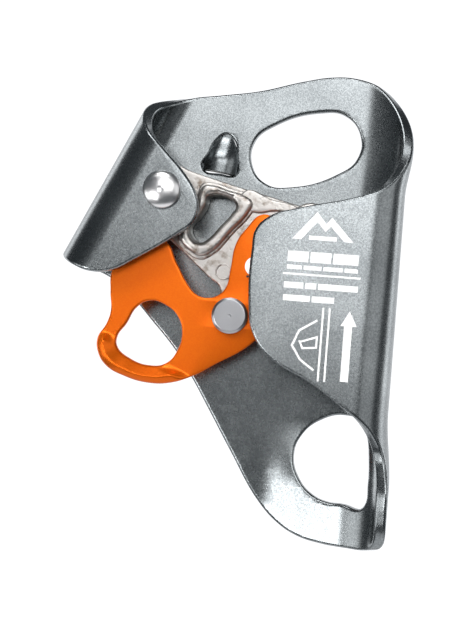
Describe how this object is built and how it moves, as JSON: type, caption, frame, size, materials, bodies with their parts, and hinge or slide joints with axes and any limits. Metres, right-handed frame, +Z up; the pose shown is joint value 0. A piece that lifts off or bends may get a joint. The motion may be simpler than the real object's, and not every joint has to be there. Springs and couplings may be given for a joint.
{
  "type": "chest ascender",
  "caption": "Folded aluminium chest ascender: rope channel, toothed sprung cam on a riveted axle, finger release lever and connector holes above and below.",
  "frame": {"origin": "middle of the lower connector hole, halfway through the base plate", "axes": "+Z up along the rope, +X towards the closed side of the rope channel, +Y out of the flat back of the base plate; the front leaf faces -Y"},
  "size_m": [0.0929, 0.0241, 0.1273],
  "materials": {
    "frame_grey": "satin grey anodised, bead blasted",
    "cam_nickel": "nickel plated cast steel, slightly rough",
    "lever_orange": "bright orange anodised",
    "rivet_steel": "polished, turned",
    "spring_steel": "drawn wire",
    "bush_resin": "black acetal"
  },
  "bodies": {
    "body": {"frame": "frame_grey", "cam_axle": "rivet_steel", "axle_washer": "bush_resin", "axle_sleeve": "bush_resin"},
    "cam": {"cam": "cam_nickel", "lever_pin": "rivet_steel", "cam_spring": "spring_steel", "lever_spring": "spring_steel"},
    "lever": {"release_lever": "lever_orange"}
  },
  "joints": [
    {"name": "cam_swing", "type": "hinge", "parent": "body", "child": "cam", "pos_m": [-0.049, 0, 0.07], "axis": [0, 1, 0], "range_deg": [0, 20], "stiffness_Nm_per_rad": 0.03, "springref_deg": -34.38},
    {"name": "lever_swing", "type": "hinge", "parent": "cam", "child": "lever", "pos_m": [-0.029, 0, 0.038], "axis": [0, 1, 0], "range_deg": [-20, 0], "stiffness_Nm_per_rad": 0.01, "springref_deg": 34.38}
  ]
}
